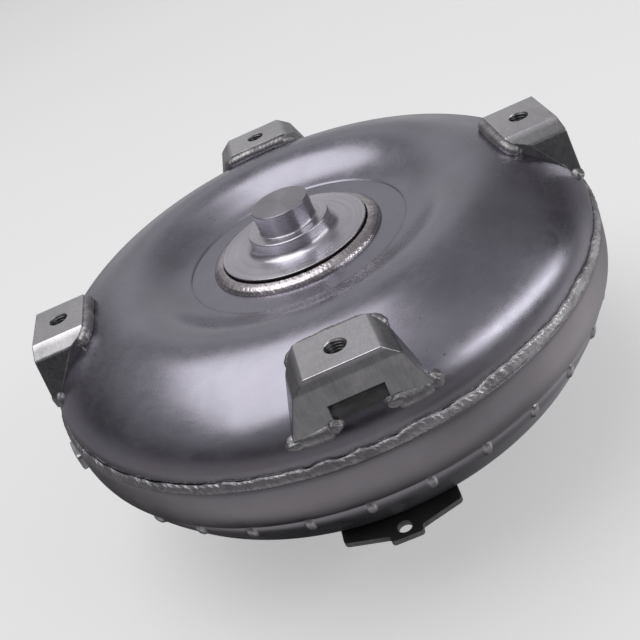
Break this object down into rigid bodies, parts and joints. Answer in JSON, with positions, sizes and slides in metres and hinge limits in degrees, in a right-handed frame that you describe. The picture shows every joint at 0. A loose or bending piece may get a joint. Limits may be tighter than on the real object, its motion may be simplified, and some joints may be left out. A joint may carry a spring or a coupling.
{
  "type": "torque converter",
  "caption": "Welded torque converter with a domed front cover, drive lugs and pilot, an impeller shell with raised blade dimples, and a rear drive hub; turbine and stator inside.",
  "frame": {"origin": "centre of the rear hub's end face, on the turning axis; the bottom centre of the converter", "axes": "+Z along the turning axis, from the rear hub to the pilot; +X and +Y through two neighbouring drive lug holes; the bracket is near -Y"},
  "size_m": [0.3034, 0.3034, 0.1608],
  "materials": {
    "shell_steel": "bare pressed steel, clear-oiled, semi-gloss",
    "machined_steel": "fine turned steel with concentric tool marks",
    "lug_steel": "ground and brushed forged steel",
    "weld": "rippled arc-weld bead, satin",
    "black_paint": "black paint, semi-gloss",
    "plated_steel": "pale zinc plate",
    "inner_steel": "pressed steel",
    "bearing_steel": "ground hardened steel",
    "bronze": "bronze thrust face",
    "cast_aluminium": "as-cast aluminium"
  },
  "bodies": {
    "housing": {"front_cover": "shell_steel", "pilot_hub": "machined_steel", "pilot_weld_bead": "weld", "drive_lug_1": "lug_steel", "drive_lug_2": "lug_steel", "drive_lug_3": "lug_steel", "drive_lug_4": "lug_steel", "drive_lug_weld_beads": "weld", "closure_weld_bead": "weld", "impeller_shell": "shell_steel", "impeller_blades": "inner_steel", "impeller_core_ring": "inner_steel", "impeller_hub": "machined_steel", "impeller_hub_weld": "weld", "rear_bracket": "black_paint", "rear_bracket_weld": "weld", "balance_weight": "plated_steel", "rear_bearing_race_pump": "bearing_steel"},
    "turbine": {"turbine_shell": "inner_steel", "turbine_blades": "inner_steel", "turbine_core_ring": "inner_steel", "turbine_hub": "machined_steel", "turbine_rivets": "plated_steel", "front_thrust_washer": "bronze", "front_bearing_race_turbine": "bearing_steel"},
    "stator_race": {"stator_inner_race": "bearing_steel"},
    "stator": {"stator_wheel": "cast_aluminium", "clutch_outer_race": "bearing_steel", "clutch_rollers": "bearing_steel", "clutch_springs": "plated_steel", "rear_side_plate": "bronze", "front_side_plate": "inner_steel", "stator_snap_ring": "inner_steel", "rear_bearing_race_stator": "bearing_steel", "front_bearing_race_stator": "bearing_steel"},
    "rear_bearing": {"rear_bearing_cage": "plated_steel", "rear_bearing_rollers": "bearing_steel"},
    "front_bearing": {"front_bearing_cage": "plated_steel", "front_bearing_rollers": "bearing_steel"}
  },
  "joints": [
    {"name": "turbine_spin", "type": "hinge", "parent": "housing", "child": "turbine", "pos_m": [0, 0, 0.113], "axis": [0, 0, 1], "continuous": true},
    {"name": "stator_race_spin", "type": "hinge", "parent": "housing", "child": "stator_race", "pos_m": [0, 0, 0.09], "axis": [0, 0, 1], "continuous": true},
    {"name": "stator_freewheel", "type": "hinge", "parent": "stator_race", "child": "stator", "pos_m": [0, 0, 0.092], "axis": [0, 0, 1], "continuous": true},
    {"name": "rear_bearing_spin", "type": "hinge", "parent": "housing", "child": "rear_bearing", "pos_m": [0, 0, 0.0721], "axis": [0, 0, 1], "continuous": true},
    {"name": "front_bearing_spin", "type": "hinge", "parent": "housing", "child": "front_bearing", "pos_m": [0, 0, 0.1076], "axis": [0, 0, 1], "continuous": true}
  ],
  "couplings": [
    {"joint": "rear_bearing_spin", "follows": "stator_race_spin", "ratio": 0.5},
    {"joint": "front_bearing_spin", "follows": "turbine_spin", "ratio": 0.5}
  ]
}
